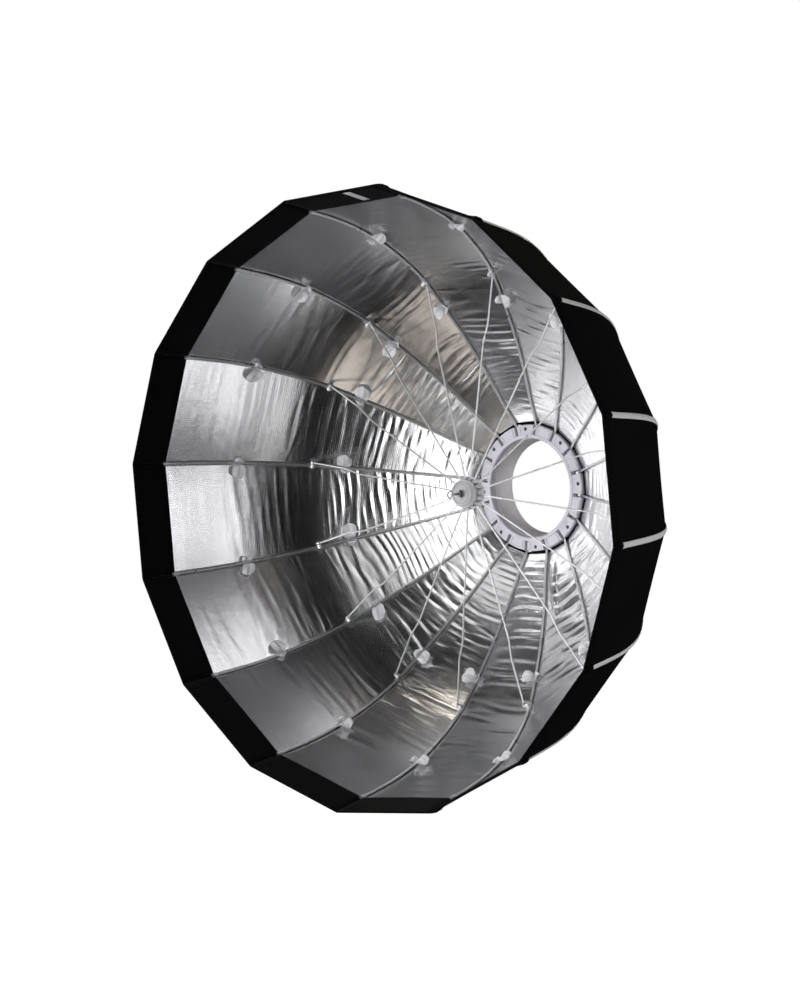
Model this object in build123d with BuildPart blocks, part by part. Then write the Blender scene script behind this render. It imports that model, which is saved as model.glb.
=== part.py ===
from build123d import *
from math import sin, cos, radians, hypot, atan2, degrees
import os

# Deep sixteen-sided folding softbox ("octabox"): speed ring, sixteen spring-steel
# ribs, sixteen stretchers, a floating hub with a release pin, sixteen fabric gores.
# Frame: the optical axis lies along Y, the mouth faces -Y, +Z is up, and the
# origin is the centre of the mount bore on the speed ring's rear face.
# "u" is the distance forward of that face, so a point at u lies at Y = -u.

# ---------------------------------------------------------------- dimensions
N = 16                          # sides, ribs, stretchers and gores
STEP_A = 360.0 / N
HALF_A = STEP_A / 2

# rib centreline in its own radial plane: (radius, u)
RIB_PTS = [(77.0, 24.0), (100.0, 37.5), (140.0, 56.5), (180.0, 76.0),
           (225.0, 102.5), (262.0, 128.0), (292.0, 151.0), (327.0, 192.0),
           (355.0, 240.0), (373.5, 292.0), (386.0, 348.0)]
RIB_R = 1.75                    # rib rod radius
RIM_R, RIM_U = 400.0, 396.0     # corner of the mouth
RIB_EYE_R, RIB_EYE_T = 4.0, 3.0
TIP_CAP_R = 2.6
SLEEVE_R, SLEEVE_L = 2.7, 11.0
LUG_T = 4.8

PIVOT_R, PIVOT_U = 77.0, 24.0   # rib hinge circle in the speed ring
PIVOT_WIRE = 1.35
RUN_CLEAR = 0.06                # radial running clearance of the wire hinges

JOINT_R, JOINT_U = 288.4, 154.6     # stretcher joint on the rib
HUB_R, HUB_U = 17.0, 168.0          # stretcher joint on the hub
STRUT_R = 1.15                  # stretcher wire radius
STRUT_OFFSET = 4.5              # its outer end runs beside the rib
STRUT_EYE_IN, STRUT_EYE_OUT, STRUT_EYE_T = 2.0, 3.2, 1.6
HUB_WIRE = 0.7
RIVET_HOLE = 1.2

FAB_IN, FAB_T = 3.3, 1.0        # canopy inner face off the rib line, and thickness
SEAM_GAP = 0.35                 # half the gap between neighbouring gores
GORE_START = (91.0, 32.2)       # rib-line point where the gores begin

BASE_RO, BASE_RI = 88.0, 70.4
BASE_U0, BASE_U1 = 3.0, 24.0
COVER_RO, COVER_RI = 86.0, 67.6
COVER_U1, LIP_U1 = 34.0, 35.5
SLOT_W, SLOT_FLOOR = 5.0, 18.0
INS_BORE, INS_RO = 64.0, 70.2
INS_FLANGE, INS_FLANGE_T = 76.0, 5.0
BAY_RO, BAY_L, LUG_RO = 68.0, 10.0, 72.5
PAD_R = 79.2
PAD_POCKET = (8.0, 17.0, 0.8)
SCREW_R, SCREW_HEAD_R, SCREW_U0 = 1.5, 2.6, 15.0
SCREW_RAD = 80.4
THUMB_PADS = (1, 6, 12)         # pads that carry a clamping thumb screw
THUMB_U, THUMB_R = 10.6, 2.4
THUMB_HEAD_R, THUMB_HEAD_L = 5.5, 9.0

CORE_R, CORE_U0, CORE_U1 = 21.0, 160.0, 174.0
HUB_SLOT, HUB_SLOT_FLOOR = 2.8, 14.5
CAP_R, CAP_U1 = 18.5, 184.5
PIN_R, PIN_CLEAR = 3.0, 0.08
PULL_U, PULL_R, PULL_WIRE = 207.5, 4.6, 1.1

os.makedirs("parts", exist_ok=True)


def radial_plane(angle, t=0.0):
    """x runs out along the radius at this angle (from +Z towards -X), y runs
    forward along -Y, the normal is the tangent; t shifts the plane along it."""
    a = radians(angle)
    return Plane(origin=(t * cos(a), 0, t * sin(a)),
                 x_dir=(-sin(a), 0, cos(a)), z_dir=(cos(a), 0, sin(a)))


def axial_plane(angle, r, u, facing=-1):
    """Plane square to the optical axis, centred on radius r at this angle."""
    a = radians(angle)
    return Plane(origin=(-sin(a) * r, -u, cos(a) * r),
                 x_dir=(-sin(a), 0, cos(a)), z_dir=(0, facing, 0))


def spoke_plane(angle, r, u):
    """Plane at radius r whose normal points straight out along the radius."""
    a = radians(angle)
    return Plane(origin=(-sin(a) * r, -u, cos(a) * r),
                 x_dir=(cos(a), 0, sin(a)), z_dir=(-sin(a), 0, cos(a)))


def offset_pts(pts, d):
    out = []
    for k, (r, u) in enumerate(pts):
        a = pts[max(k - 1, 0)]
        b = pts[min(k + 1, len(pts) - 1)]
        tr, tu = b[0] - a[0], b[1] - a[1]
        n = hypot(tr, tu)
        out.append((r + d * tu / n, u - d * tr / n))
    return out


def save(builder, name):
    builder.part.label = name
    export_step(builder.part, "parts/%s.step" % name)


MERIDIAN = radial_plane(0.0)

# ---------------------------------------------------------------- speed ring
with BuildPart() as ring_base:
    with BuildSketch(MERIDIAN):
        with BuildLine():
            Polyline((BASE_RI, INS_FLANGE_T + 0.2), (INS_FLANGE + 0.4, INS_FLANGE_T + 0.2),
                     (INS_FLANGE + 0.4, BASE_U0), (BASE_RO - 3, BASE_U0),
                     (BASE_RO, BASE_U0 + 3), (BASE_RO, BASE_U1), (BASE_RI, BASE_U1), close=True)
        make_face()
    revolve(axis=Axis.Y)
    for i in range(N):
        with BuildSketch(radial_plane(STEP_A * i)):
            with Locations((82.0, (SLOT_FLOOR + BASE_U1 + 1) / 2)):
                Rectangle(19.0, BASE_U1 + 1 - SLOT_FLOOR)
        extrude(amount=SLOT_W / 2, both=True, mode=Mode.SUBTRACT)
    with BuildSketch(MERIDIAN):
        with Locations((PIVOT_R, PIVOT_U)):
            Circle(PIVOT_WIRE)
    revolve(axis=Axis.Y, mode=Mode.SUBTRACT)
    for i in range(0, N, 2):
        with BuildSketch(axial_plane(STEP_A * i + HALF_A, SCREW_RAD, SCREW_U0)):
            Circle(SCREW_R)
        extrude(amount=BASE_U1 - SCREW_U0 + 1, mode=Mode.SUBTRACT)
    for k in THUMB_PADS:
        with BuildSketch(spoke_plane(STEP_A * k + HALF_A, BASE_RI - 1, THUMB_U)):
            Circle(THUMB_R)
        extrude(amount=BASE_RO - BASE_RI + 2, mode=Mode.SUBTRACT)
save(ring_base, "speed_ring_base")

with BuildPart() as ring_cover:
    with BuildSketch(MERIDIAN):
        with BuildLine():
            Polyline((COVER_RI, BASE_U1), (COVER_RO, BASE_U1), (COVER_RO, COVER_U1 - 1.2),
                     (COVER_RO - 1.2, COVER_U1), (73.2, COVER_U1), (72.2, LIP_U1),
                     (COVER_RI + 1.2, LIP_U1), (COVER_RI, LIP_U1 - 1.2), close=True)
        make_face()
    revolve(axis=Axis.Y)
    for i in range(N):
        with BuildSketch(radial_plane(STEP_A * i)):
            with Locations((82.2, 30.0)):
                Rectangle(19.4, 14.0)
        extrude(amount=SLOT_W / 2, both=True, mode=Mode.SUBTRACT)
        with BuildSketch(radial_plane(STEP_A * i + HALF_A)):
            with Locations((PAD_R, COVER_U1)):
                Rectangle(PAD_POCKET[0], 2 * PAD_POCKET[2])
        extrude(amount=PAD_POCKET[1] / 2, both=True, mode=Mode.SUBTRACT)
    with BuildSketch(MERIDIAN):
        with Locations((PIVOT_R, PIVOT_U)):
            Circle(PIVOT_WIRE)
    revolve(axis=Axis.Y, mode=Mode.SUBTRACT)
    for i in range(0, N, 2):
        with BuildSketch(axial_plane(STEP_A * i + HALF_A, SCREW_RAD, BASE_U1 - 1)):
            Circle(SCREW_R)
        extrude(amount=COVER_U1 - BASE_U1, mode=Mode.SUBTRACT)
        with BuildSketch(axial_plane(STEP_A * i + HALF_A, SCREW_RAD, COVER_U1 - 3.0)):
            Circle(SCREW_HEAD_R)
        extrude(amount=4, mode=Mode.SUBTRACT)
save(ring_cover, "speed_ring_cover")

with BuildPart() as pivot_wire:
    with BuildSketch(MERIDIAN):
        with Locations((PIVOT_R, PIVOT_U)):
            Circle(PIVOT_WIRE)
    revolve(axis=Axis.Y)
save(pivot_wire, "rib_pivot_wire")

with BuildPart() as cover_screws:
    for i in range(0, N, 2):
        with BuildSketch(axial_plane(STEP_A * i + HALF_A, SCREW_RAD, SCREW_U0)):
            Circle(SCREW_R)
        extrude(amount=COVER_U1 - 3.0 - SCREW_U0)
        with BuildSketch(axial_plane(STEP_A * i + HALF_A, SCREW_RAD, COVER_U1 - 3.0)):
            Circle(SCREW_HEAD_R - 0.1)
        extrude(amount=1.9)
        with BuildSketch(axial_plane(STEP_A * i + HALF_A, SCREW_RAD, COVER_U1 - 2.3)):
            RegularPolygon(1.25, 6)
        extrude(amount=2, mode=Mode.SUBTRACT)
save(cover_screws, "cover_screws")

with BuildPart() as insert:
    with BuildSketch(MERIDIAN):
        with BuildLine():
            Polyline((INS_BORE, -BAY_L), (BAY_RO - 0.8, -BAY_L), (BAY_RO, -BAY_L + 0.8),
                     (BAY_RO, 0), (INS_FLANGE, 0), (INS_FLANGE, INS_FLANGE_T),
                     (INS_RO, INS_FLANGE_T), (INS_RO, BASE_U1 - 0.2),
                     (66.9, BASE_U1 - 0.2), (INS_BORE, 8.0), close=True)
        make_face()
    revolve(axis=Axis.Y)
    # three bayonet lugs at the rear end of the barrel
    for k in range(3):
        with BuildSketch(Plane(origin=(0, BAY_L - 4.0, 0), x_dir=(0, 0, 1), z_dir=(0, 1, 0))):
            with BuildLine():
                a0, a1, am = radians(120 * k - 17), radians(120 * k + 17), radians(120 * k)
                ri, ro = BAY_RO - 1.5, LUG_RO
                Line((ri * cos(a0), ri * sin(a0)), (ro * cos(a0), ro * sin(a0)))
                ThreePointArc((ro * cos(a0), ro * sin(a0)), (ro * cos(am), ro * sin(am)),
                              (ro * cos(a1), ro * sin(a1)))
                Line((ro * cos(a1), ro * sin(a1)), (ri * cos(a1), ri * sin(a1)))
                ThreePointArc((ri * cos(a1), ri * sin(a1)), (ri * cos(am), ri * sin(am)),
                              (ri * cos(a0), ri * sin(a0)))
            make_face()
        extrude(amount=3.0)
save(insert, "mount_insert")

for n, k in enumerate(THUMB_PADS):
    ang = STEP_A * k + HALF_A
    with BuildPart() as thumb:
        with BuildSketch(spoke_plane(ang, BASE_RI + 0.2, THUMB_U)):
            Circle(THUMB_R - 0.05)
        extrude(amount=BASE_RO + 1.5 - BASE_RI)
        with BuildSketch(spoke_plane(ang, BASE_RO + 1.0, THUMB_U)):
            Circle(3.6)
        extrude(amount=2.0)
        with BuildSketch(spoke_plane(ang, BASE_RO + 2.5, THUMB_U)):
            Circle(THUMB_HEAD_R)
            with PolarLocations(THUMB_HEAD_R + 0.25, 18):
                Circle(0.6, mode=Mode.SUBTRACT)
        extrude(amount=THUMB_HEAD_L)
    save(thumb, "thumb_screw_%d" % (n + 1))

# ---------------------------------------------------------------- hub
with BuildPart() as hub_core:
    with BuildSketch(MERIDIAN):
        with BuildLine():
            Polyline((PIN_R + PIN_CLEAR, 154), (9, 154), (10, 155), (10, CORE_U0),
                     (CORE_R - 1, CORE_U0), (CORE_R, CORE_U0 + 1), (CORE_R, CORE_U1 - 1),
                     (CORE_R - 1, CORE_U1), (PIN_R + PIN_CLEAR, CORE_U1), close=True)
        make_face()
    revolve(axis=Axis.Y)
    for i in range(N):
        with BuildSketch(radial_plane(STEP_A * i)):
            with Locations(((HUB_SLOT_FLOOR + 24) / 2, (CORE_U0 + CORE_U1) / 2)):
                Rectangle(24 - HUB_SLOT_FLOOR, CORE_U1 - CORE_U0 + 2)
        extrude(amount=HUB_SLOT / 2, both=True, mode=Mode.SUBTRACT)
    with BuildSketch(MERIDIAN):
        with Locations((HUB_R, HUB_U)):
            Circle(HUB_WIRE)
    revolve(axis=Axis.Y, mode=Mode.SUBTRACT)
save(hub_core, "hub_core")

with BuildPart() as hub_wire:
    with BuildSketch(MERIDIAN):
        with Locations((HUB_R, HUB_U)):
            Circle(HUB_WIRE)
    revolve(axis=Axis.Y)
save(hub_wire, "hub_retaining_wire")

with BuildPart() as hub_cap:
    with BuildSketch(MERIDIAN):
        with BuildLine():
            Polyline((14.0, CAP_U1), (13.4, CAP_U1 - 0.7), (12.6, CAP_U1 - 0.7), (12.0, CAP_U1),
                     (PIN_R + PIN_CLEAR, CAP_U1), (PIN_R + PIN_CLEAR, CORE_U1),
                     (CAP_R, CORE_U1), (CAP_R, CAP_U1 - 4.5))
            ThreePointArc((CAP_R, CAP_U1 - 4.5), (14.0 + 3.182, CAP_U1 - 4.5 + 3.182), (14.0, CAP_U1))
        make_face()
    revolve(axis=Axis.Y)
save(hub_cap, "hub_cap")

with BuildPart() as release_pin:
    with BuildSketch(MERIDIAN):
        with BuildLine():
            Polyline((0, 152), (2.4, 152), (PIN_R, 152.6), (PIN_R, 185.3), (5.0, 185.3), (5.0, 187.6),
                     (3.8, 188.8), (1.7, 191.5), (1.7, 203.6), (0, 203.6), close=True)
        make_face()
    revolve(axis=Axis.Y)
    # pull ring standing in the plane of the axis
    with Locations(Plane(origin=(0, -PULL_U, 0), x_dir=(0, 0, 1), z_dir=(1, 0, 0))):
        Torus(PULL_R, PULL_WIRE)
save(release_pin, "release_pin")

# ---------------------------------------------------------------- ribs
JT = (RIB_PTS[7][0] - RIB_PTS[5][0], RIB_PTS[7][1] - RIB_PTS[5][1])
JTN = hypot(*JT)
JT = (JT[0] / JTN, JT[1] / JTN)            # rib direction at the stretcher joint
FOOT = RIB_PTS[6]

for i in range(N):
    ang = STEP_A * i
    a = radians(ang)
    pl = radial_plane(ang)
    with BuildPart() as rib:
        with BuildLine(pl) as path:
            Spline(*RIB_PTS)
        with BuildSketch(Plane(origin=path.line @ 0, z_dir=path.line % 0)):
            Circle(RIB_R)
        sweep()
        # crimped sleeve and riveted lug that take the stretcher
        foot = pl.from_local_coords(Vector(FOOT[0], FOOT[1], 0))
        along = pl.from_local_coords(Vector(FOOT[0] + JT[0], FOOT[1] + JT[1], 0)) - foot
        with BuildSketch(Plane(origin=foot - along * (SLEEVE_L / 2), z_dir=along)):
            Circle(SLEEVE_R)
        extrude(amount=SLEEVE_L)
        with BuildSketch(pl):
            with Locations((JOINT_R, JOINT_U)):
                Circle(3.0)
            with Locations(((JOINT_R + FOOT[0]) / 2, (JOINT_U + FOOT[1]) / 2)):
                Rectangle(6.0, hypot(JOINT_R - FOOT[0], JOINT_U - FOOT[1]),
                          rotation=degrees(atan2(JT[1], JT[0])))
        extrude(amount=LUG_T / 2, both=True)
        with BuildSketch(pl):
            with Locations((JOINT_R, JOINT_U)):
                Circle(RIVET_HOLE)
        extrude(amount=LUG_T, both=True, mode=Mode.SUBTRACT)
        # capped tip
        end, tang = path.line @ 1, path.line % 1
        with BuildSketch(Plane(origin=end - tang * 7.0, z_dir=tang)):
            Circle(TIP_CAP_R)
        extrude(amount=9.0)
        # flattened hinge eye
        with BuildSketch(pl):
            with Locations((PIVOT_R, PIVOT_U)):
                Circle(RIB_EYE_R)
        extrude(amount=RIB_EYE_T / 2, both=True)
        with BuildSketch(pl):
            with Locations((PIVOT_R, PIVOT_U)):
                Circle(PIVOT_WIRE + RUN_CLEAR)
        extrude(amount=RIB_EYE_T, both=True, mode=Mode.SUBTRACT)
    save(rib, "rib_%02d" % (i + 1))

# ---------------------------------------------------------------- stretchers
SL = hypot(JOINT_R - HUB_R, JOINT_U - HUB_U)
for i in range(N):
    ang = STEP_A * i
    pl = radial_plane(ang)
    h = pl.from_local_coords(Vector(HUB_R, HUB_U, 0))
    j = pl.from_local_coords(Vector(JOINT_R, JOINT_U, 0))
    d = (j - h).normalized()
    sp = Plane(origin=h, x_dir=d, z_dir=d.cross(pl.z_dir))
    with BuildPart() as stretcher:
        with BuildLine(sp) as path:
            FilletPolyline((1.4, 0), (SL - 88, 0), (SL - 64, STRUT_OFFSET),
                           (SL - 2.4, STRUT_OFFSET), radius=40)
        with BuildSketch(Plane(origin=path.line @ 0, z_dir=path.line % 0)):
            Circle(STRUT_R)
        sweep()
        with BuildSketch(pl):
            with Locations((HUB_R, HUB_U)):
                Circle(STRUT_EYE_IN)
        extrude(amount=STRUT_EYE_T / 2, both=True)
        with BuildSketch(pl):
            with Locations((HUB_R, HUB_U)):
                Circle(HUB_WIRE + RUN_CLEAR)
        extrude(amount=STRUT_EYE_T, both=True, mode=Mode.SUBTRACT)
        with BuildSketch(radial_plane(ang, STRUT_OFFSET)):
            with Locations((JOINT_R, JOINT_U)):
                Circle(STRUT_EYE_OUT)
        extrude(amount=STRUT_EYE_T / 2, both=True)
        with BuildSketch(radial_plane(ang, STRUT_OFFSET)):
            with Locations((JOINT_R, JOINT_U)):
                Circle(RIVET_HOLE)
        extrude(amount=STRUT_EYE_T, both=True, mode=Mode.SUBTRACT)
    save(stretcher, "stretcher_%02d" % (i + 1))

# ---------------------------------------------------------------- gores
CH = cos(radians(HALF_A))
line_pts = [GORE_START] + RIB_PTS[1:]
inner = offset_pts(line_pts, FAB_IN)
outer = offset_pts(line_pts, FAB_IN + FAB_T)
inner = [(r * CH, u) for r, u in inner] + [((RIM_R - FAB_T) * CH, RIM_U)]
outer = [(r * CH, u) for r, u in outer] + [(RIM_R * CH, RIM_U)]
apex = SEAM_GAP / sin(radians(HALF_A))
for i in range(N):
    ang = STEP_A * i + HALF_A
    a = radians(ang)
    with BuildPart() as gore:
        with BuildSketch(radial_plane(ang)):
            with BuildLine():
                s1 = Spline(*inner)
                s2 = Spline(*outer)
                Line(s1 @ 0, s2 @ 0)
                Line(s1 @ 1, s2 @ 1)
            make_face()
        extrude(amount=95, both=True)
        with BuildSketch(Plane(origin=(0, 0, 0), x_dir=(-sin(a), 0, cos(a)), z_dir=(0, -1, 0))):
            with BuildLine():
                Polyline((apex, 0), (apex + 460 * cos(radians(HALF_A)), 460 * sin(radians(HALF_A))),
                         (apex + 460 * cos(radians(HALF_A)), -460 * sin(radians(HALF_A))), close=True)
            make_face()
        extrude(amount=420, mode=Mode.INTERSECT)
    save(gore, "gore_%02d" % (i + 1))
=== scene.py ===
import bpy, bmesh, math
import numpy as np
from mathutils import Vector, Matrix


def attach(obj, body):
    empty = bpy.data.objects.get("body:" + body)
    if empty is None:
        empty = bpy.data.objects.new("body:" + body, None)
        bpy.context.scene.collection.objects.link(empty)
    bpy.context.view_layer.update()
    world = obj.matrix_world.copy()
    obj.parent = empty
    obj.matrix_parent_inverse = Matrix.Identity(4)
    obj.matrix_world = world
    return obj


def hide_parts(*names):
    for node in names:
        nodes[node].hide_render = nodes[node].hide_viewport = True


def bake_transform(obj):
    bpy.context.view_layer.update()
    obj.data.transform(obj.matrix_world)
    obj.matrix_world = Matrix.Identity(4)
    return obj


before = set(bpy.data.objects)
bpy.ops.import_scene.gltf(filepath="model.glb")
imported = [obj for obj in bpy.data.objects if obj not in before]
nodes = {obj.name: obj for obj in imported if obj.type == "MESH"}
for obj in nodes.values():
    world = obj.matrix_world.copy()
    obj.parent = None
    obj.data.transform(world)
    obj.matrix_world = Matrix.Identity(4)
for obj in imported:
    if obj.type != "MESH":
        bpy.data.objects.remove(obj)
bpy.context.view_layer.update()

N = 16
STEP = math.radians(360 / N)
HALF = STEP / 2
rng = np.random.RandomState(7)

# ------------------------------------------------------------------ camera
cam_data = bpy.data.cameras.new("camera")
cam = bpy.data.objects.new("camera", cam_data)
bpy.context.scene.collection.objects.link(cam)
R = Matrix(((0.765294, -0.129748, 0.630468), (0.640417, 0.054969, -0.766058), (0.064738, 0.990022, 0.12516)))
cam.matrix_world = Matrix.Translation((2.2449, -3.03738, 0.44442)) @ R.to_4x4()
cam_data.lens = 99.945
cam_data.sensor_width = 36
cam_data.clip_end = 100
bpy.context.scene.camera = cam


# ------------------------------------------------------------------ node helpers
class Mat:
    def __init__(self, name, color, rough=0.5, metal=0.0, **sockets):
        self.m = bpy.data.materials.new(name)
        self.m.use_nodes = True
        self.nt = self.m.node_tree
        self.b = self.nt.nodes["Principled BSDF"]
        self.set("Base Color", (*color, 1))
        self.set("Roughness", rough)
        self.set("Metallic", metal)
        for k, v in sockets.items():
            self.set(k.replace("_", " "), v)

    def set(self, k, v):
        self.b.inputs[k].default_value = v

    def new(self, kind, **props):
        n = self.nt.nodes.new(kind)
        for k, v in props.items():
            setattr(n, k, v)
        return n

    def link(self, a, b):
        self.nt.links.new(a, b)

    def uv(self):
        n = self.new("ShaderNodeUVMap")
        n.uv_map = "cloth"
        return n.outputs["UV"]

    def obj(self):
        return self.new("ShaderNodeTexCoord").outputs["Object"]

    def noise(self, co, scale, detail=3.0, rough=0.5, stretch=None):
        if stretch is not None:
            mp = self.new("ShaderNodeMapping")
            mp.inputs["Scale"].default_value = stretch
            self.link(co, mp.inputs["Vector"])
            co = mp.outputs["Vector"]
        n = self.new("ShaderNodeTexNoise")
        n.inputs["Scale"].default_value = scale
        n.inputs["Detail"].default_value = detail
        n.inputs["Roughness"].default_value = rough
        self.link(co, n.inputs["Vector"])
        return n.outputs["Fac"]

    def ramp(self, fac, stops):
        n = self.new("ShaderNodeValToRGB")
        e = n.color_ramp.elements
        while len(e) < len(stops):
            e.new(0.5)
        for x, (p, c) in zip(e, stops):
            x.position = p
            x.color = (*c, 1) if hasattr(c, "__len__") else (c, c, c, 1)
        self.link(fac, n.inputs["Fac"])
        return n.outputs["Color"]

    def math(self, op, a, b=None, c=None):
        n = self.new("ShaderNodeMath", operation=op)
        for k, v in enumerate((a, b, c)):
            if v is None:
                continue
            if isinstance(v, (int, float)):
                n.inputs[k].default_value = v
            else:
                self.link(v, n.inputs[k])
        return n.outputs[0]

    def sep(self, co):
        n = self.new("ShaderNodeSeparateXYZ")
        self.link(co, n.inputs[0])
        return n.outputs

    def bump(self, height, strength, dist, chain=None):
        n = self.new("ShaderNodeBump")
        n.inputs["Strength"].default_value = strength
        n.inputs["Distance"].default_value = dist
        self.link(height, n.inputs["Height"])
        if chain is not None:
            self.link(chain, n.inputs["Normal"])
        return n.outputs["Normal"]

    def to(self, out, socket):
        self.link(out, self.b.inputs[socket])
        return self


def weave_height(m, co, pitch):
    """Plain weave: over-and-under threads along both directions, pitch in metres."""
    x, y, _ = m.sep(co)
    k = 2 * math.pi / pitch
    sx = m.math("SINE", m.math("MULTIPLY", x, k))
    sy = m.math("SINE", m.math("MULTIPLY", y, k))
    return m.math("MULTIPLY_ADD", m.math("MULTIPLY", sx, sy), 0.5, 0.5)


def grid_lines(m, co, pitch, width):
    """Ripstop: a thicker thread at every pitch, both ways. 1 on a thread, 0 between."""
    x, y, _ = m.sep(co)
    out = []
    for a in (x, y):
        f = m.math("ABSOLUTE", m.math("SUBTRACT", m.math("FRACT", m.math("DIVIDE", a, pitch)), 0.5))
        n = m.new("ShaderNodeMapRange")
        n.interpolation_type = "SMOOTHSTEP"
        n.inputs["From Min"].default_value = 0.5 - width / pitch
        n.inputs["From Max"].default_value = 0.5
        m.link(f, n.inputs["Value"])
        out.append(n.outputs["Result"])
    return m.math("MAXIMUM", *out)


def silver():
    m = Mat("silver_lining", (0.86, 0.86, 0.87), 0.2, 1.0)
    co = m.uv()
    g = grid_lines(m, co, 0.0026, 0.0007)
    mix = m.new("ShaderNodeMixRGB")
    m.link(m.math("MULTIPLY", g, 0.7), mix.inputs[0])
    m.link(m.ramp(m.noise(m.obj(), 5, 3, 0.5), [(0.3, (0.82, 0.82, 0.83)), (0.7, (0.89, 0.89, 0.895))]), mix.inputs[1])
    mix.inputs[2].default_value = (0.62, 0.62, 0.64, 1)
    m.to(mix.outputs[0], "Base Color")
    rr = m.new("ShaderNodeMapRange")
    m.link(m.noise(m.obj(), 12, 2, 0.5), rr.inputs["Value"])
    rr.inputs["From Min"].default_value = 0.3
    rr.inputs["From Max"].default_value = 0.7
    rr.inputs["To Min"].default_value = 0.17
    rr.inputs["To Max"].default_value = 0.25
    m.to(rr.outputs["Result"], "Roughness")
    fine = m.noise(co, 150, 2, 0.5, stretch=(0.25, 1.0, 1.0))
    n1 = m.bump(fine, 0.055, 0.0008)
    crumple = m.noise(m.obj(), 55, 3, 0.55)
    n1 = m.bump(crumple, 0.4, 0.0007, n1)
    n2 = m.bump(g, 0.3, 0.0001, n1)
    m.to(n2, "Normal")
    return m.m


def black_cloth(name="black_cloth", base=0.010):
    m = Mat(name, (base, base, base * 1.05), 0.75, 0.0, Specular_IOR_Level=0.06)
    m.set("Sheen Weight", 0.012)
    m.set("Sheen Roughness", 0.4)
    co = m.uv()
    n = m.noise(m.obj(), 6, 4, 0.6)
    m.to(m.ramp(n, [(0.3, (base * 0.75, base * 0.75, base * 0.8)), (0.75, (base * 1.6, base * 1.6, base * 1.7))]), "Base Color")
    w = weave_height(m, co, 0.0011)
    folds = m.noise(co, 14, 3, 0.5, stretch=(1.0, 0.4, 1.0))
    n1 = m.bump(folds, 0.25, 0.004)
    m.to(m.bump(w, 0.5, 0.00025, n1), "Normal")
    return m.m


def tape_mat():
    m = Mat("grey_tape", (0.42, 0.42, 0.42), 0.55, 0.0)
    co = m.uv()
    x, y, _ = m.sep(co)
    w = weave_height(m, co, 0.0012)
    # twin stitch lines along the tape, 2.5 mm stitches
    line = m.math("LESS_THAN", m.math("ABSOLUTE", m.math("SUBTRACT", m.math("ABSOLUTE", x), 0.0024)), 0.00035)
    dash = m.math("LESS_THAN", m.math("FRACT", m.math("DIVIDE", y, 0.0032)), 0.68)
    st = m.math("MULTIPLY", line, dash)
    mix = m.new("ShaderNodeMixRGB")
    m.link(st, mix.inputs[0])
    m.link(m.ramp(m.noise(co, 60, 3), [(0.3, (0.84, 0.84, 0.845)), (0.7, (0.93, 0.93, 0.935))]), mix.inputs[1])
    mix.inputs[2].default_value = (0.97, 0.97, 0.97, 1)
    m.to(mix.outputs[0], "Base Color")
    n1 = m.bump(w, 0.6, 0.0003)
    m.to(m.bump(st, 0.7, 0.0004, n1), "Normal")
    return m.m


def white_cloth():
    m = Mat("white_tie", (0.95, 0.95, 0.98), 0.5, 0.0)
    m.set("Subsurface Weight", 0.12)
    m.set("Subsurface Radius", (0.004, 0.004, 0.004))
    m.set("Subsurface Scale", 1.0)
    m.set("Sheen Weight", 0.45)
    co = m.uv()
    g = grid_lines(m, co, 0.004, 0.0008)
    n1 = m.bump(m.noise(m.obj(), 180, 3, 0.6), 0.5, 0.001)
    m.to(m.bump(g, 0.5, 0.0003, n1), "Normal")
    m.to(m.ramp(m.noise(m.obj(), 90, 3), [(0.3, (0.88, 0.88, 0.93)), (0.7, (0.97, 0.97, 0.99))]), "Base Color")
    return m.m


def metal(name, color, r0, r1, scale=60, metallic=1.0):
    m = Mat(name, color, r0, metallic)
    n = m.noise(m.obj(), scale, 4, 0.6)
    rr = m.new("ShaderNodeMapRange")
    m.link(n, rr.inputs["Value"])
    rr.inputs["To Min"].default_value = r0
    rr.inputs["To Max"].default_value = r1
    m.to(rr.outputs["Result"], "Roughness")
    d = tuple(c * 0.82 for c in color)
    m.to(m.ramp(m.noise(m.obj(), scale * 0.4, 3), [(0.3, d), (0.7, color)]), "Base Color")
    m.to(m.bump(m.noise(m.obj(), scale * 8, 2), 0.12, 0.0003), "Normal")
    return m.m


def plastic(name, color, rough, grain=900, bump=0.25, coat=0.0):
    m = Mat(name, color, rough, 0.0)
    m.set("Coat Weight", coat)
    m.set("Coat Roughness", 0.25)
    d = tuple(c * 0.86 for c in color)
    m.to(m.ramp(m.noise(m.obj(), 35, 4, 0.6), [(0.3, d), (0.7, color)]), "Base Color")
    rr = m.new("ShaderNodeMapRange")
    m.link(m.noise(m.obj(), 50, 3), rr.inputs["Value"])
    rr.inputs["To Min"].default_value = rough * 0.85
    rr.inputs["To Max"].default_value = rough * 1.2
    m.to(rr.outputs["Result"], "Roughness")
    m.to(m.bump(m.noise(m.obj(), grain, 2), bump, 0.0002), "Normal")
    return m.m


SILVER = silver()
BLACK = black_cloth(base=0.003)
BAND = black_cloth("black_band", 0.0018)
TAPE = tape_mat()
TIE = white_cloth()
WIRE = metal("plated_steel", (0.72, 0.72, 0.73), 0.22, 0.36, 60, 0.85)
RIVET = metal("rivet_steel", (0.74, 0.74, 0.75), 0.22, 0.36, 120, 0.85)
HUBP = plastic("hub_plastic", (0.60, 0.60, 0.63), 0.24, coat=0.6)
COVER = plastic("ring_plastic", (0.80, 0.79, 0.87), 0.34, coat=0.25)
DARK = plastic("ring_dark_plastic", (0.018, 0.018, 0.02), 0.45)
ALU = metal("anodised_aluminium", (0.80, 0.785, 0.81), 0.34, 0.48, 40)
INSERT = metal("satin_insert", (0.93, 0.905, 0.92), 0.36, 0.5, 40)
INSERT.node_tree.nodes["Principled BSDF"].inputs["Metallic"].default_value = 0.12
PIN = metal("pin_steel", (0.27, 0.27, 0.28), 0.2, 0.32, 90)
SCREW = metal("black_screw", (0.10, 0.10, 0.11), 0.3, 0.45, 100)
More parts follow.
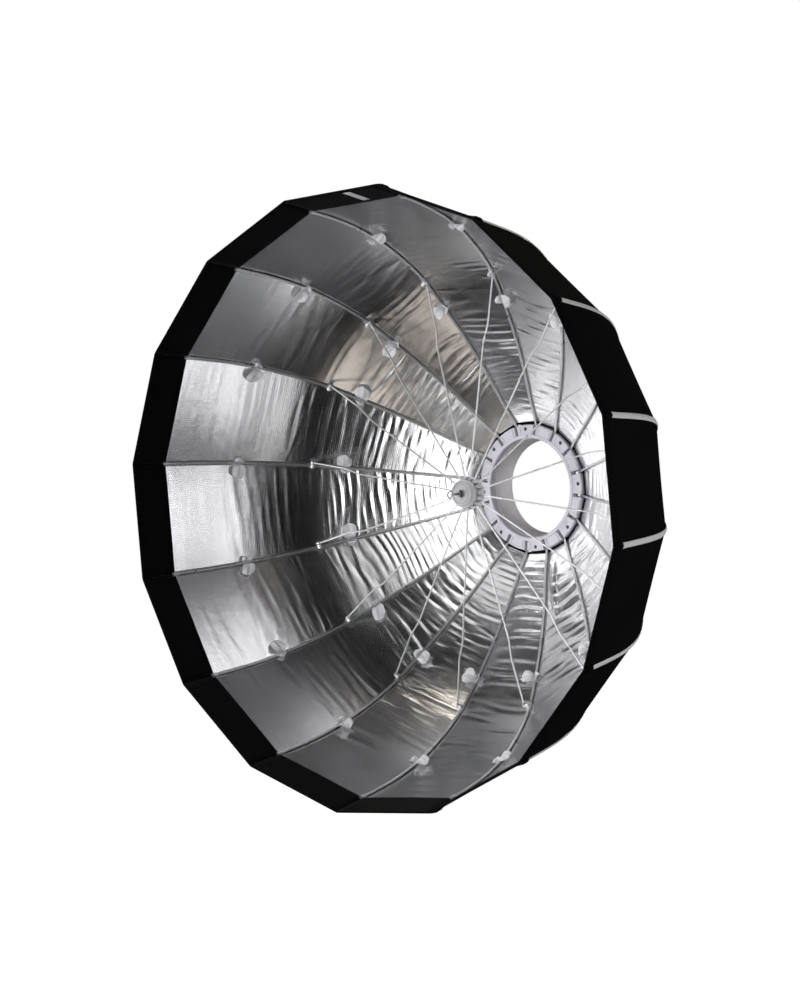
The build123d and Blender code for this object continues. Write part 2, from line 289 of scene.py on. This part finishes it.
LABEL = plastic("blank_label", (0.82, 0.82, 0.82), 0.55, grain=500)


def paint(node, mat):
    o = nodes[node]
    o.data.materials.clear()
    o.data.materials.append(mat)


for n in nodes:
    if n.startswith(("rib_", "stretcher_")) or n in ("hub_retaining_wire", "release_pin"):
        paint(n, WIRE)
paint("hub_core", HUBP)
paint("release_pin", PIN)
paint("hub_cap", HUBP)
paint("speed_ring_base", DARK)
paint("speed_ring_cover", COVER)
paint("mount_insert", INSERT)
paint("cover_screws", SCREW)
for k in (1, 2, 3):
    paint("thumb_screw_%d" % k, ALU)

# ------------------------------------------------------------------ the rib line
RIB = np.array([(77.0, 24.0), (100.0, 37.5), (140.0, 56.5), (180.0, 76.0), (225.0, 102.5), (262.0, 128.0),
                (292.0, 151.0), (327.0, 192.0), (355.0, 240.0), (373.5, 292.0), (386.0, 348.0)]) / 1000
LINE = np.vstack([[0.0896, 0.0314], RIB[1:], [0.3958, 0.3969]])


class Spline:
    """Natural cubic spline through points, by chord length."""

    def __init__(self, p):
        t = np.r_[0, np.cumsum(np.hypot(*np.diff(p, axis=0).T))]
        n = len(t)
        h = np.diff(t)
        A = np.zeros((n, n))
        B = np.zeros((n, 2))
        A[0, 0] = A[-1, -1] = 1
        for i in range(1, n - 1):
            A[i, i - 1:i + 2] = h[i - 1], 2 * (h[i - 1] + h[i]), h[i]
            B[i] = 6 * ((p[i + 1] - p[i]) / h[i] - (p[i] - p[i - 1]) / h[i - 1])
        self.t, self.h, self.p, self.m = t, h, p, np.linalg.solve(A, B)

    def __call__(self, s):
        s = np.asarray(s, float)
        k = np.clip(np.searchsorted(self.t, s, side="right") - 1, 0, len(self.h) - 1)
        h, a, b = self.h[k][..., None], (self.t[k + 1] - s)[..., None], (s - self.t[k])[..., None]
        m0, m1, p0, p1 = self.m[k], self.m[k + 1], self.p[k], self.p[k + 1]
        v = m0 * a**3 / (6 * h) + m1 * b**3 / (6 * h) + (p0 / h - m0 * h / 6) * a + (p1 / h - m1 * h / 6) * b
        d = -m0 * a**2 / (2 * h) + m1 * b**2 / (2 * h) - (p0 / h - m0 * h / 6) + (p1 / h - m1 * h / 6)
        return v, d / np.linalg.norm(d, axis=-1, keepdims=True)


CURVE = Spline(LINE)
S_END = CURVE.t[-1]
_s = np.linspace(0, S_END, 2000)
_c = CURVE(_s)[0]


def s_of(u):
    """Arc position of the rib line where it is u forward of the ring's rear face."""
    return float(np.interp(u, _c[:, 1], _s))


S_TIP = s_of(0.350)


def at(s, off):
    """(radius, u) on the rib line moved off outwards, and the outward normal there."""
    c, d = CURVE(s)
    n = np.stack([d[..., 1], -d[..., 0]], -1)
    return c + np.asarray(off)[..., None] * n, n


def er(a):
    a = np.asarray(a, float)
    return np.stack([-np.sin(a), 0 * a, np.cos(a)], -1)


def et(a):
    return np.stack([np.cos(a), 0 * a, np.sin(a)], -1)


FWD = np.array([0.0, -1.0, 0.0])


def gore_grid(i, s, w, off, push):
    """Points of a gore surface. s: rows, w: columns from 0 at rib i to 1 at the next rib,
    off: rows of outward offsets, push: [rows, cols] inward displacement."""
    (ru, n) = at(s, off)
    a0, a1, am = STEP * i, STEP * (i + 1), STEP * (i + 0.5)
    e0, e1, em = er(a0), er(a1), er(am)
    radial = e0[None] * (1 - w)[:, None] + e1[None] * w[:, None]
    P = ru[:, 0, None, None] * radial[None] + ru[:, 1, None, None] * FWD
    nrm = n[:, 0, None] * em * math.cos(HALF) + n[:, 1, None] * FWD
    nrm /= np.linalg.norm(nrm, axis=1, keepdims=True)
    P = P - push[..., None] * nrm[:, None, :]
    width = ru[:, 0] * 2 * math.sin(HALF)
    U = (w - 0.5)[None] * width[:, None]
    V = np.repeat(s[:, None], len(w), 1)
    return P, np.stack([U, V], -1), np.repeat(w[None], len(s), 0)


def grid_mesh(name, P, UV, W=None, thick=0.0004, inward=None, mat=None, smooth=True, close=False):
    """A closed thin sheet from a grid of points; thickness goes along -normal * thick."""
    nr, nc = P.shape[:2]
    du = np.gradient(P, axis=0)
    dw = np.gradient(P, axis=1)
    nm = np.cross(du, dw)
    nm /= np.maximum(np.linalg.norm(nm, axis=-1, keepdims=True), 1e-12)
    if inward is not None and (nm * inward).sum() < 0:
        nm = -nm
    Q = P - nm * thick
    idx = np.arange(nr * nc).reshape(nr, nc)
    a, b, c, d = idx[:-1, :-1], idx[1:, :-1], idx[1:, 1:], idx[:-1, 1:]
    top = np.stack([a, b, c, d], -1).reshape(-1, 4)
    off = nr * nc
    bot = top[:, ::-1] + off
    rim = []
    ring = list(idx[0, :]) + list(idx[1:, -1]) + list(idx[-1, -2::-1]) + list(idx[-2:0:-1, 0])
    for k in range(len(ring)):
        p, q = ring[k], ring[(k + 1) % len(ring)]
        rim.append((p, q, q + off, p + off))
    faces = np.vstack([top, bot, np.array(rim)])
    verts = np.vstack([P.reshape(-1, 3), Q.reshape(-1, 3)])
    # face direction: the top's normal is nm
    t0 = verts[top[len(top) // 2]]
    n0 = np.cross(t0[1] - t0[0], t0[2] - t0[0])
    if n0 @ nm.reshape(-1, 3)[top[len(top) // 2][0]] < 0:
        faces = faces[:, ::-1]
    me = bpy.data.meshes.new(name)
    me.vertices.add(len(verts))
    me.vertices.foreach_set("co", verts.astype(np.float32).ravel())
    me.loops.add(len(faces) * 4)
    me.loops.foreach_set("vertex_index", faces.astype(np.int32).ravel())
    me.polygons.add(len(faces))
    me.polygons.foreach_set("loop_start", np.arange(len(faces), dtype=np.int32) * 4)
    me.polygons.foreach_set("loop_total", np.full(len(faces), 4, np.int32))
    me.update(calc_edges=True)
    uv = np.vstack([UV.reshape(-1, 2)] * 2)[faces.ravel()]
    layer = me.uv_layers.new(name="cloth")
    layer.data.foreach_set("uv", uv.astype(np.float32).ravel())
    me.polygons.foreach_set("use_smooth", np.full(len(faces), smooth))
    if mat:
        me.materials.append(mat)
    me.validate()
    o = bpy.data.objects.new(name, me)
    bpy.context.scene.collection.objects.link(o)
    if W is not None:
        o["weights"] = 1
        o_w[name] = np.r_[W.ravel(), W.ravel()].astype(np.float32)
    return o


o_w = {}


def bend(o):
    """Cloth between rib i and the next: bakes its transform into its mesh and drops its stored weights. The eased
    weights it computes are not used, so the cloth does not follow rib i or the gore body.
    """
    w = o_w[o.name]
    del o["weights"]
    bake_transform(o)
    w = w * w * (3 - 2 * w) * 0.35 + w * 0.65


def flat_area(s0, s1, off):
    s = np.linspace(s0, s1, 200)
    ru, _ = at(s, np.full(200, off))
    w = ru[:, 0] * 2 * math.sin(HALF)
    seg = np.hypot(*np.diff(ru, axis=0).T)
    return float((seg * (w[1:] + w[:-1]) / 2).sum()), float(w.max()), float(seg.sum())


# ------------------------------------------------------------------ lining with its tension folds
def wander(r, x, step, size):
    """A smooth random curve over x, with a knot every step."""
    n = int(x.max() / step) + 4
    k = r.uniform(-1, 1, n)
    t = x / step + 1
    j = np.clip(t.astype(int), 1, n - 3)
    f = t - j
    f = f * f * (3 - 2 * f)
    return size * (k[j] * (1 - f) + k[j + 1] * f)


def folds(i, s, w):
    """Inward push of the lining: the saddle of a stretched gore, and the tension folds that run from rib to rib."""
    r = np.random.RandomState(100 + i)
    S, Wg = np.meshgrid(s * 1000, w, indexing="ij")
    L = S_TIP * 1000
    t = np.clip(S / L, 0, 1)
    dip = 0.7 * np.sin(np.pi * t) ** 0.8 * (1 - (2 * Wg - 1) ** 2)
    # running folds, about 9 mm apart near the ring, twice that at the struts, and faint towards the rim
    sm = np.linspace(0, s[-1] * 1000, 1200)
    lam = np.interp(sm, [0, 80, 160, 260, 350, L], [9.5, 10.5, 13.0, 14.0, 18.0, 24.0]) * (1 + wander(r, sm, 22, 0.4)) * (1 + 0.5 * math.exp(-((i - 9.5) / 2.0) ** 2))
    x = Wg - 0.5
    h = np.zeros_like(S)
    # the lowest gores were left slacker when the canopy was opened
    loose = 1 + 0.75 * math.exp(-((i - 9.0) / 2.2) ** 2)
    for share in (1.0, 0.45):
        ph1 = np.cumsum(2 * np.pi / lam) * (sm[1] - sm[0]) * (1.0 if share == 1 else 0.71)
        phase = np.interp(S, sm, ph1)
        phase = phase + (r.uniform(-4.2, 4.2) + wander(r, S, 70, 2.4)) * x + (4 * x * x - 0.5) * wander(r, S, 80, 2.2)
        for _ in range(3):
            phase = phase + 0.5 * np.sin(S / r.uniform(14, 40) + Wg * r.uniform(-6, 6) + r.uniform(0, 6.3))
        slope = np.interp(S, [0, 12, 40, 150, 200, 250, 300, 360, L], [0, 0.08, 0.14, 0.14, 0.115, 0.085, 0.075, 0.045, 0.028]) * loose
        uneven = np.clip(0.5 + wander(r, S + 22 * np.sin(Wg * 3 + r.uniform(0, 6)), 15, 0.85), 0.0, 1.45)
        side = np.clip(0.85 + r.uniform(-0.7, 0.7) * 2 * x + wander(r, S, 40, 0.9) * x, 0.1, 1.6)
        lens = np.clip(4 * Wg * (1 - Wg), 0, 1) ** 0.35 * side
        h += share * slope * np.interp(S, sm, lam) / 6.28 * uneven * lens * (np.sin(phase) + 0.3 * np.sin(2 * phase + r.uniform(0, 6.3)))
    # single creases that start at a seam
    for k in range(26):
        xx = (1 - Wg) if r.rand() < 0.5 else Wg
        s0 = r.uniform(10, L - 20)
        reach = r.uniform(0.25, 0.9)
        c = s0 + r.uniform(-22, 22) * xx + r.uniform(-2, 2) * np.sin(xx * r.uniform(2, 7))
        wd = r.uniform(2.4, 4.6) * (0.6 + 0.9 * xx)
        amp = loose * r.uniform(0.10, 0.38) * (1 if r.rand() < 0.5 else -1) * (1.0 if s0 < 280 else 0.5)
        h += amp * np.clip(1 - xx / reach, 0, 1) ** 0.8 * np.clip(xx / 0.05, 0, 1) ** 0.8 * np.exp(-((S - c) / wd) ** 2)
    # fine puckers along the two seams
    for side in (0, 1):
        xx = Wg if side == 0 else 1 - Wg
        fm = np.sin(S * 2 * np.pi / r.uniform(5.2, 6.8) + 1.9 * np.sin(S / r.uniform(17, 30)) + r.uniform(0, 6.28))
        h += 0.09 * fm * np.exp(-xx / 0.055) * np.clip(xx / 0.02, 0, 1)
    if i == 9:
        # one pleat that never pulled out, running from the ring along this gore
        ru, _ = at(s, np.zeros(len(s)))
        across = (Wg - (0.20 + 0.0012 * S)) * (2 * ru[:, 0] * math.sin(HALF) * 1000)[:, None]
        along = np.clip((S - 6) / 18, 0, 1) * np.clip((115 - S) / 45, 0, 1)
        h += 5.0 * along * np.exp(-np.abs((across - 1.2 * np.sin(S / 17)) / 3.4) ** 1.6)
    edge = np.clip((np.minimum(Wg, 1 - Wg) - 0.008) / 0.045, 0, 1)
    edge = edge * edge * (3 - 2 * edge)
    ends = np.clip(S / 10, 0, 1) * np.clip((L - S) / 10, 0, 1)
    return (dip + h * edge * ends) / 1000


def make_gore(i):
    am = STEP * (i + 0.5)
    name = "%02d" % (i + 1)
    # lining
    s = np.r_[np.arange(0.0, 0.300, 0.00125), np.linspace(0.300, S_TIP + 0.004, 70)]
    c = np.linspace(0, 1, 31)
    w = 0.008 + 0.984 * (0.55 * c + 0.45 * (0.5 - 0.5 * np.cos(np.pi * c)))
    push = folds(i, s, w)
    P, UV, W = gore_grid(i, s, w, np.full(len(s), 0.0024), push)
    inward = -er(am)
    o = grid_mesh("lining_" + name, P, UV, W, 0.0003, inward, SILVER)
    bend(o)
    area, width, length = flat_area(0, S_TIP, 0.0024)
    # outer shell, one cloth up to the mouth
    s = np.linspace(0.0, S_END, 110)
    w = np.linspace(0.006, 0.994, 21)
    S, Wg = np.meshgrid(s * 1000, w, indexing="ij")
    t = np.clip(S / (S_TIP * 1000), 0, 1)
    dip = 0.5 * np.sin(np.pi * t) ** 0.8 * (1 - (2 * Wg - 1) ** 2)
    r = np.random.RandomState(500 + i)
    h = np.zeros_like(S)
    for k in range(12):
        side = r.rand() < 0.5
        s0 = r.uniform(60, S_END * 1000 - 60)
        x = (1 - Wg) if side else Wg
        wd = r.uniform(7, 16)
        h += r.uniform(-0.5, 0.6) * np.clip(1 - x / r.uniform(0.4, 1.1), 0, 1) * np.exp(
            -((S - s0 - r.uniform(-25, 25) * x) / wd) ** 2)
    edge = np.clip((np.minimum(Wg, 1 - Wg) - 0.006) / 0.05, 0, 1)
    ends = np.clip((S_TIP * 1000 - S) / 30, 0, 1) * np.clip(S / 20, 0, 1)
    P, UV, W = gore_grid(i, s, w, np.full(len(s), 0.0040), (dip + h * edge * ends) / 1000)
    o = grid_mesh("shell_" + name, P, UV, W, 0.0004, er(am), BLACK)
    bend(o)
    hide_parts("gore_" + name)
    area, width, length = flat_area(0, S_END, 0.004)
    # rim band: from behind the rib tips to the mouth inside, then folded over the edge
    s_in = np.linspace(S_TIP - 0.004, S_END - 0.001, 16)
    turn = np.linspace(0, np.pi, 7)[1:-1]
    s_out = np.linspace(S_END - 0.001, S_END - 0.016, 5)
    off = np.r_[np.linspace(0.0014, 0.0016, 16), 0.00305 - 0.00145 * np.cos(turn), np.full(5, 0.0046)]
    ss = np.r_[s_in, S_END - 0.001 + 0.0012 * np.sin(turn), s_out]
    ss = np.minimum(ss, S_END)
    w = np.linspace(0.0012, 0.9988, 17)
    Wg = np.repeat(w[None], len(ss), 0)
    k = np.clip((S_END - ss) / (S_END - S_TIP), 0, 1)
    pull = 0.6 * k[:, None] * (1 - (2 * Wg - 1) ** 2) / 1000
    P, UV, W = gore_grid(i, ss, w, off, pull)
    UV[..., 1] = np.r_[0, np.cumsum(np.linalg.norm(np.diff(P[:, 8], axis=0), axis=1))][:, None]
    o = grid_mesh("rim_band_" + name, P, UV, W, 0.0004, inward, BAND)
    bend(o)
    wd = 2 * 0.4 * math.sin(HALF)


for i in range(N):
    make_gore(i)


# ------------------------------------------------------------------ seam tape outside, on the rib planes
def rib_frame(i, s, off):
    a = STEP * i
    ru, n = at(s, off)
    P = ru[:, 0, None] * er(a) + ru[:, 1, None] * FWD
    Nn = n[:, 0, None] * er(a) + n[:, 1, None] * FWD
    return P, Nn, et(a)


for i in range(N):
    s = np.linspace(0.004, s_of(0.388), 120)
    P, Nn, T = rib_frame(i, s, np.full(len(s), 0.0042))
    # the tape stands up over the seam, lies on the gores at both sides, and its edges are turned under
    k = math.tan(HALF)
    x = np.array([-2.2, -3.3, -3.75, -3.6, -3.0, -2.2, -1.1, 0, 1.1, 2.2, 3.0, 3.6, 3.75, 3.3, 2.2]) / 1000
    rise = np.array([0.10, 0.12, 0.42, 0.78, 0.86, 1.0, 1.2, 1.28, 1.2, 1.0, 0.86, 0.78, 0.42, 0.12, 0.10]) / 1000 + 0.00012 - np.abs(x) * k * 0.62
    G = P[:, None] + x[None, :, None] * T + rise[None, :, None] * Nn[:, None]
    flat_x = np.r_[0, np.cumsum(np.hypot(np.diff(x), np.diff(rise)))]
    UV = np.stack(np.broadcast_arrays((flat_x - flat_x[-1] / 2)[None], s[:, None]), -1)
    o = grid_mesh("seam_tape_%02d" % (i + 1), G, UV, None, 0.0003, None, TAPE)
    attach(o, "rib_%02d" % (i + 1))
    # stitched black tab at its front end
    s = np.linspace(s_of(0.3765), s_of(0.3915), 14)
    P, Nn, T = rib_frame(i, s, np.full(len(s), 0.0042))
    x = np.linspace(-0.0058, 0.0058, 13)
    over = np.where(np.abs(x) < 0.0041, 0.00045, 0.0)
    rise = 0.0013 * np.clip(1 - (x / 0.0041) ** 2, 0, 1) + 0.0009 - np.abs(x) * k * 0.8 + over
    front = np.clip((s - s_of(0.3875)) / 0.0012, 0, 1)
    G = P[:, None] + x[None, :, None] * T + (rise[None] - 0.0009 * front[:, None] * (np.abs(x) < 0.0041))[..., None] * Nn[:, None]
    UV = np.stack(np.broadcast_arrays(x[None], s[:, None]), -1)
    o = grid_mesh("tape_tab_%02d" % (i + 1), G, UV, None, 0.0005, er(STEP * i), BAND)
    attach(o, "rib_%02d" % (i + 1))


# ------------------------------------------------------------------ cloth ties round the ribs
def make_tie(i, which, s0):
    """A short strip of thin cloth folded round the rib: a long crumpled tail on one side, a short one on the other."""
    r = np.random.RandomState(900 + i * 2 + which)
    name = "tie_%s_%02d" % ("outer" if which == 0 else "inner", i + 1)
    (c,), (d,) = CURVE(np.array([s0 + r.uniform(-0.002, 0.002)]))
    a = STEP * i
    origin = c[0] * er(a) + c[1] * FWD
    along = d[0] * er(a) + d[1] * FWD
    nin = -(d[1] * er(a) - d[0] * FWD)
    T = et(a) * (1 if r.rand() < 0.5 else -1)
    long_, short = r.uniform(0.013, 0.019), r.uniform(0.002, 0.006)
    up, up2 = r.uniform(0.0045, 0.0075), r.uniform(0.003, 0.006)
    path = np.array([(-0.0036 - short, up2 * 0.7), (-0.0038 - short * 0.5, up2), (-0.0036, 0.0040), (-0.0027, 0.0008),
                     (0.0, -0.0022), (0.0027, 0.0008), (0.0036, 0.0042), (0.0038 + long_ * 0.35, up + 0.0006),
                     (0.0038 + long_ * 0.7, up), (0.0038 + long_, up * 0.75)])
    sp = Spline(path)
    t = np.linspace(0, sp.t[-1], 49)
    q, _ = sp(t)
    mid = sp.t[4] / sp.t[-1]
    f = t / sp.t[-1]
    far = np.where(f > mid, (f - mid) / (1 - mid), (mid - f) / mid)
    # half width: gathered at the rib, full in the tail, rounded at its end
    full = np.where(f > mid, r.uniform(0.0086, 0.0112), r.uniform(0.0054, 0.0070))
    half = 0.0052 + (full - 0.0052) * np.clip((far - 0.22) / 0.3, 0, 1)
    half = half * np.sqrt(np.clip(1 - np.clip((far - 0.80) / 0.24, 0, 1) ** 2.2, 0.22, 1))
    v = np.linspace(-1, 1, 17)
    ph = r.uniform(0, 6.28, 8)
    lean = r.uniform(-0.25, 0.25)
    grow = np.clip((far - 0.12) / 0.5, 0, 1)
    G = np.zeros((len(t), len(v), 3))
    for k, vv in enumerate(v):
        crump = 0.0012 * np.sin(vv * 3.6 + ph[0] + far * 2.0) + 0.0007 * np.sin(vv * 8.0 + ph[1] - far * 5)
        curl = 0.0017 * (vv * vv - 0.4) * (1 if ph[2] > 2.2 else -1)
        X = q[:, 0] + 0.0005 * np.sin(far * 9 + ph[3] + 2 * vv) * grow - 0.0022 * np.sign(q[:, 0]) * grow * abs(vv) ** 3
        Y = q[:, 1] + (crump + curl) * grow
        Y = np.maximum(Y, np.where(np.abs(X) > 0.005, 0.0002, -0.0022))
        Z = vv * half + lean * (np.abs(q[:, 0]) - 0.003) * grow
        G[:, k] = origin + X[:, None] * T + Y[:, None] * nin + Z[:, None] * along
    UV = np.stack(np.broadcast_arrays((v * 0.008)[None], t[:, None]), -1)
    o = grid_mesh(name, G, UV, None, 0.0003, None, TIE)
    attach(o, "rib_%02d" % (i + 1))


S_OUT = s_of(0.238)
S_IN = s_of(0.124)
for i in range(N):
    make_tie(i, 0, S_OUT)
    make_tie(i, 1, S_IN)


# ------------------------------------------------------------------ lathe pieces
def lathe(name, prof, frame_o, ax, x, y, mat, seg=24, cap=True):
    """prof: (radius, height) pairs from one end to the other; closed at both ends on the axis."""
    V, F = [], []
    for r, h in prof:
        for k in range(seg):
            a = 2 * math.pi * k / seg
            V.append(frame_o + ax * h + x * (r * math.cos(a)) + y * (r * math.sin(a)))
    n = len(prof)
    for j in range(n - 1):
        for k in range(seg):
            k2 = (k + 1) % seg
            F.append((j * seg + k, j * seg + k2, (j + 1) * seg + k2, (j + 1) * seg + k))
    F.append(tuple(range(seg))[::-1])
    F.append(tuple((n - 1) * seg + k for k in range(seg)))
    me = bpy.data.meshes.new(name)
    me.from_pydata([tuple(v) for v in V], [], F)
    me.materials.append(mat)
    for p in me.polygons:
        p.use_smooth = True
    o = bpy.data.objects.new(name, me)
    bpy.context.scene.collection.objects.link(o)
    return o


for i in range(N):
    a = STEP * i
    o_ = 0.2884 * er(a) + 0.1546 * FWD
    prof = [(0.0010, 0.0027), (0.00115, 0.0028), (0.00115, 0.0052), (0.0021, 0.0053), (0.0021, 0.0056), (0.0017, 0.0062), (0.0008, 0.0065)]
    o = lathe("rivet_%02d" % (i + 1), prof, o_, et(a), er(a), FWD, RIVET)
    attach(o, "stretcher_%02d" % (i + 1))

# raised frames on the ring cover's plain pads
def pad_frame(i):
    am = STEP * (i + 0.5)
    rings = []
    # (inset from the outline, height above the cover): up, chamfer, across, down into the pocket
    for inset, up in ((0.0, -0.0004), (0.0, 0.0007), (0.0005, 0.0011), (0.0016, 0.0011), (0.0020, 0.0008), (0.0021, 0.0002)):
        pts = []
        r0, r1, hw = 0.0705 + inset, 0.0848 - inset, 0.0104 - inset
        cr = max(0.0016 - inset * 0.5, 0.0006)
        for cx, cy, st in ((hw - cr, r1 - cr, 0), (-hw + cr, r1 - cr, 90), (-hw + cr, r0 + cr, 180), (hw - cr, r0 + cr, 270)):
            for q in range(5):
                b = math.radians(st + 22.5 * q)
                pts.append((cx + cr * math.cos(b), cy + cr * math.sin(b)))
        rings.append([tuple(x * et(am) * (y / 0.078) + y * er(am) + (0.034 + up) * FWD) for x, y in pts])
    m_ = len(rings[0])
    V = [p for ring in rings for p in ring]
    F = [(j * m_ + k, j * m_ + (k + 1) % m_, (j + 1) * m_ + (k + 1) % m_, (j + 1) * m_ + k) for j in range(len(rings) - 1) for k in range(m_)]
    F += [tuple(range(m_))[::-1], tuple((len(rings) - 1) * m_ + k for k in range(m_))]
    return V, F


V, F = [], []
for i in range(N):
    if i % 2 == 1:
        v_, f_ = pad_frame(i)
        F += [tuple(len(V) + q for q in f) for f in f_]
        V += v_
me = bpy.data.meshes.new("cover_pad_frames")
me.from_pydata(V, [], F)
me.materials.append(COVER)
bm = bmesh.new()
bm.from_mesh(me)
bmesh.ops.recalc_face_normals(bm, faces=bm.faces)
bm.to_mesh(me)
bm.free()
o = bpy.data.objects.new("cover_pad_frames", me)
bpy.context.scene.collection.objects.link(o)
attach(o, "root")

# black elastic binding where the lining meets the ring
seg, cs = 192, 10
V, F = [], []
for k in range(seg):
    a = 2 * math.pi * k / seg
    # follows the gores' straight inner edges between the ribs
    ph = (a % STEP) - HALF
    rr = 0.0902 * math.cos(HALF) / math.cos(ph)
    for j in range(cs):
        b = 2 * math.pi * j / cs
        V.append(tuple((rr + 0.0017 * math.cos(b)) * er(a) + (0.0272 + 0.0024 * math.sin(b)) * FWD))
for k in range(seg):
    for j in range(cs):
        F.append((k * cs + j, k * cs + (j + 1) % cs, ((k + 1) % seg) * cs + (j + 1) % cs, ((k + 1) % seg) * cs + j))
me = bpy.data.meshes.new("ring_binding")
me.from_pydata(V, [], F)
me.uv_layers.new(name="cloth")
me.materials.append(BAND)
for p in me.polygons:
    p.use_smooth = True
o = bpy.data.objects.new("ring_binding", me)
bpy.context.scene.collection.objects.link(o)
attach(o, "root")

# blank label inside the rim band, between the top rib and the next
s = np.linspace(S_TIP + 0.004, S_END - 0.004, 10)
w = np.linspace(0.30, 0.375, 5)
off = np.full(len(s), 0.0009)
P, UV, W = gore_grid(0, s, w, off, np.zeros((len(s), len(w))))
o = grid_mesh("blank_label", P, UV, W, 0.0003, -er(HALF), LABEL)
bend(o)

# ------------------------------------------------------------------ stage and light
bpy.ops.mesh.primitive_plane_add(size=80, location=(0, 0, -1.6))
floor = bpy.context.object
floor.name = "floor"
fm = Mat("floor_white", (0.92, 0.92, 0.92), 0.7, Specular_IOR_Level=0.1)
fm.to(fm.ramp(fm.noise(fm.obj(), 0.5, 2), [(0.3, (0.91, 0.91, 0.91)), (0.7, (0.93, 0.93, 0.93))]), "Base Color")
fm.set("Emission Color", (1, 1, 1, 1))
fm.set("Emission Strength", 1.0)
floor.data.materials.append(fm.m)
floor.visible_glossy = False
floor.visible_diffuse = False


def softbox(name, az, el, width, height, power, dist=2.8, color=(1, 1, 1)):
    """A soft light at an angle from the mouth's axis: az to the side, el up."""
    l = bpy.data.lights.new(name, "AREA")
    l.shape = "RECTANGLE"
    l.size, l.size_y = width, height
    l.energy = power
    l.color = color
    o = bpy.data.objects.new(name, l)
    a, e = math.radians(az), math.radians(el)
    d = Vector((math.sin(a) * math.cos(e), -math.cos(a) * math.cos(e), math.sin(e)))
    o.location = Vector((0, -0.2, 0)) + d * dist
    o.rotation_euler = d.to_track_quat("Z", "Y").to_euler()
    bpy.context.scene.collection.objects.link(o)
    return o


# a bank of soft lights in front of the mouth, dimmer ones above and below it
softbox("front_a", -12, 0, 0.9, 1.0, 13.5)
softbox("front_b", 6, 0, 0.9, 1.0, 10)
softbox("front_c", -12, 19, 0.9, 1.0, 6.5)
softbox("front_d", 6, 19, 0.9, 1.0, 3.5)
softbox("front_e", 6, -19, 0.9, 1.0, 5.5)
softbox("left_low", -36, -19, 0.9, 1.0, 17)
softbox("left_high", -36, 22, 0.9, 1.2, 4)
softbox("top", -60, 60, 0.9, 1.0, 32, color=(1.0, 0.93, 0.82))
softbox("low", 6, -52, 1.4, 0.9, 4.3, color=(1.0, 0.90, 0.79))
softbox("right_low", 76, -28, 0.9, 1.8, 11)
softbox("right", 104, 5, 0.5, 1.6, 26)

world = bpy.data.worlds.new("studio")
bpy.context.scene.world = world
world.use_nodes = True
nt = world.node_tree
bg = nt.nodes["Background"]
bg.inputs["Color"].default_value = (1, 1, 1, 1)
bg.inputs["Strength"].default_value = 0.008
white = nt.nodes.new("ShaderNodeBackground")
white.inputs["Color"].default_value = (1, 1, 1, 1)
white.inputs["Strength"].default_value = 1.0
mixer = nt.nodes.new("ShaderNodeMixShader")
path = nt.nodes.new("ShaderNodeLightPath")
nt.links.new(path.outputs["Is Camera Ray"], mixer.inputs["Fac"])
nt.links.new(bg.outputs[0], mixer.inputs[1])
nt.links.new(white.outputs[0], mixer.inputs[2])
nt.links.new(mixer.outputs[0], nt.nodes["World Output"].inputs["Surface"])
bpy.context.scene.view_settings.view_transform = "Standard"
